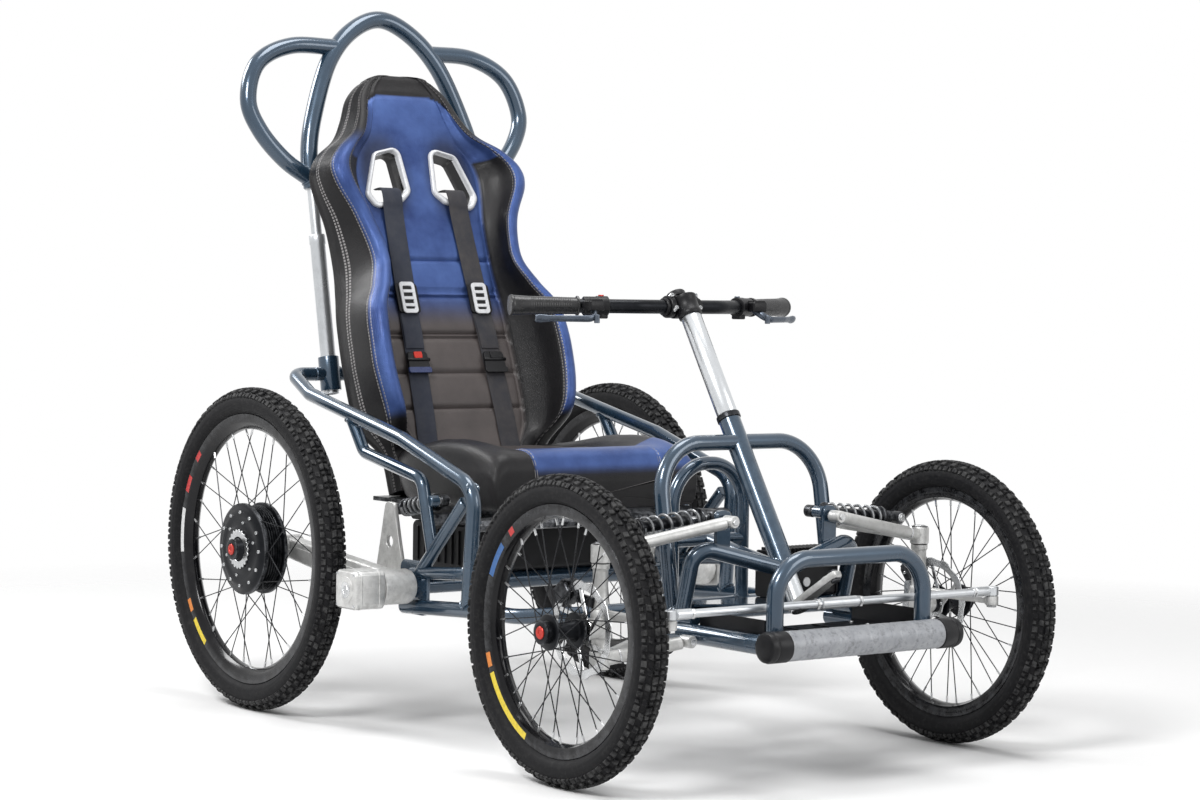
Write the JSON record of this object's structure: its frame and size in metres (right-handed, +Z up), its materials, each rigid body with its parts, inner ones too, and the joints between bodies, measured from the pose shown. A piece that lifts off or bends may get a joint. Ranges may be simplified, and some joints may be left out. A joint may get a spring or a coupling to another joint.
{
  "type": "all-terrain wheelchair",
  "caption": "All-terrain wheelchair: spoked wheels with knobbly tyres, tubular frame, bucket seat with harness, handlebar steering and a push bar.",
  "frame": {"origin": "on the ground, under the middle of the overall length and width", "axes": "+X forward, +Y to the rider's left, +Z up"},
  "size_m": [1.5901, 0.9632, 1.3847],
  "materials": {
    "blue_paint": "gloss steel-blue paint",
    "bright_alloy": "bright satin alloy",
    "black_metal": "satin black",
    "tyre": "matt knobbly rubber",
    "grip_rubber": "matt rubber",
    "seat_cover": "black leatherette with pearl blue edges",
    "webbing": "woven strap"
  },
  "bodies": {
    "chassis": {"controller_box": "black_metal", "skid_plate": "black_metal", "front_frame": "blue_paint", "side_frame_right": "blue_paint", "side_frame_left": "blue_paint", "rear_crossbar": "blue_paint", "pivot_crossbar": "blue_paint", "floor_plate": "blue_paint", "bumper_frame": "blue_paint", "bumper_bar": "black_metal", "battery_box": "black_metal", "seat_cradle": "black_metal", "seat_back": "seat_cover", "seat_cushion": "seat_cover", "harness_strap_right": "webbing", "harness_strap_left": "webbing", "push_upright_right": "bright_alloy", "push_upright_left": "bright_alloy", "trailing_arm_right": "bright_alloy", "upper_arm_right": "bright_alloy", "lower_arm_right": "bright_alloy", "rear_shock_right": "black_metal", "front_shock_right": "bright_alloy", "trailing_arm_left": "bright_alloy", "upper_arm_left": "bright_alloy", "lower_arm_left": "bright_alloy", "rear_shock_left": "black_metal", "front_shock_left": "bright_alloy"},
    "steering": {"steering_column": "bright_alloy", "handlebar": "black_metal", "grip_right": "grip_rubber", "grip_left": "grip_rubber", "brake_lever_right": "black_metal", "brake_lever_left": "black_metal"},
    "track_rod": {"track_rod": "bright_alloy"},
    "push_bar": {"push_bar": "blue_paint"},
    "knuckle_right": {"knuckle_right": "bright_alloy"},
    "front_wheel_right": {"front_wheel_right": "bright_alloy", "front_tyre_right": "tyre"},
    "rear_wheel_right": {"rear_wheel_right": "black_metal", "rear_tyre_right": "tyre"},
    "knuckle_left": {"knuckle_left": "bright_alloy"},
    "front_wheel_left": {"front_wheel_left": "bright_alloy", "front_tyre_left": "tyre"},
    "rear_wheel_left": {"rear_wheel_left": "black_metal", "rear_tyre_left": "tyre"}
  },
  "joints": [
    {"name": "steering_turn", "type": "hinge", "parent": "chassis", "child": "steering", "pos_m": [0.5735, 0, 0.341], "axis": [-0.5299, 0, 0.848], "range_deg": [-30, 30]},
    {"name": "track_rod_slide", "type": "slide", "parent": "chassis", "child": "track_rod", "axis": [0, 1, 0], "range_m": [-0.0625, 0.0625]},
    {"name": "push_bar_height", "type": "slide", "parent": "chassis", "child": "push_bar", "axis": [-0.1942, 0, 0.981], "range_m": [-0.08, 0.06]},
    {"name": "knuckle_right_turn", "type": "hinge", "parent": "chassis", "child": "knuckle_right", "pos_m": [0.5245, -0.36, 0.258], "axis": [0, 0, 1], "range_deg": [-19.2, 19.2]},
    {"name": "front_wheel_right_spin", "type": "hinge", "parent": "knuckle_right", "child": "front_wheel_right", "pos_m": [0.5245, -0.433, 0.258], "axis": [0, 1, 0], "continuous": true},
    {"name": "rear_wheel_right_spin", "type": "hinge", "parent": "chassis", "child": "rear_wheel_right", "pos_m": [-0.4855, -0.433, 0.31], "axis": [0, 1, 0], "continuous": true},
    {"name": "knuckle_left_turn", "type": "hinge", "parent": "chassis", "child": "knuckle_left", "pos_m": [0.5245, 0.36, 0.258], "axis": [0, 0, 1], "range_deg": [-19.2, 19.2]},
    {"name": "front_wheel_left_spin", "type": "hinge", "parent": "knuckle_left", "child": "front_wheel_left", "pos_m": [0.5245, 0.433, 0.258], "axis": [0, 1, 0], "continuous": true},
    {"name": "rear_wheel_left_spin", "type": "hinge", "parent": "chassis", "child": "rear_wheel_left", "pos_m": [-0.4855, 0.433, 0.31], "axis": [0, 1, 0], "continuous": true}
  ],
  "couplings": [
    {"joint": "track_rod_slide", "follows": "steering_turn", "m_per_rad": 0.118},
    {"joint": "knuckle_right_turn", "follows": "steering_turn", "ratio": 0.6378},
    {"joint": "knuckle_left_turn", "follows": "steering_turn", "ratio": 0.6378}
  ]
}
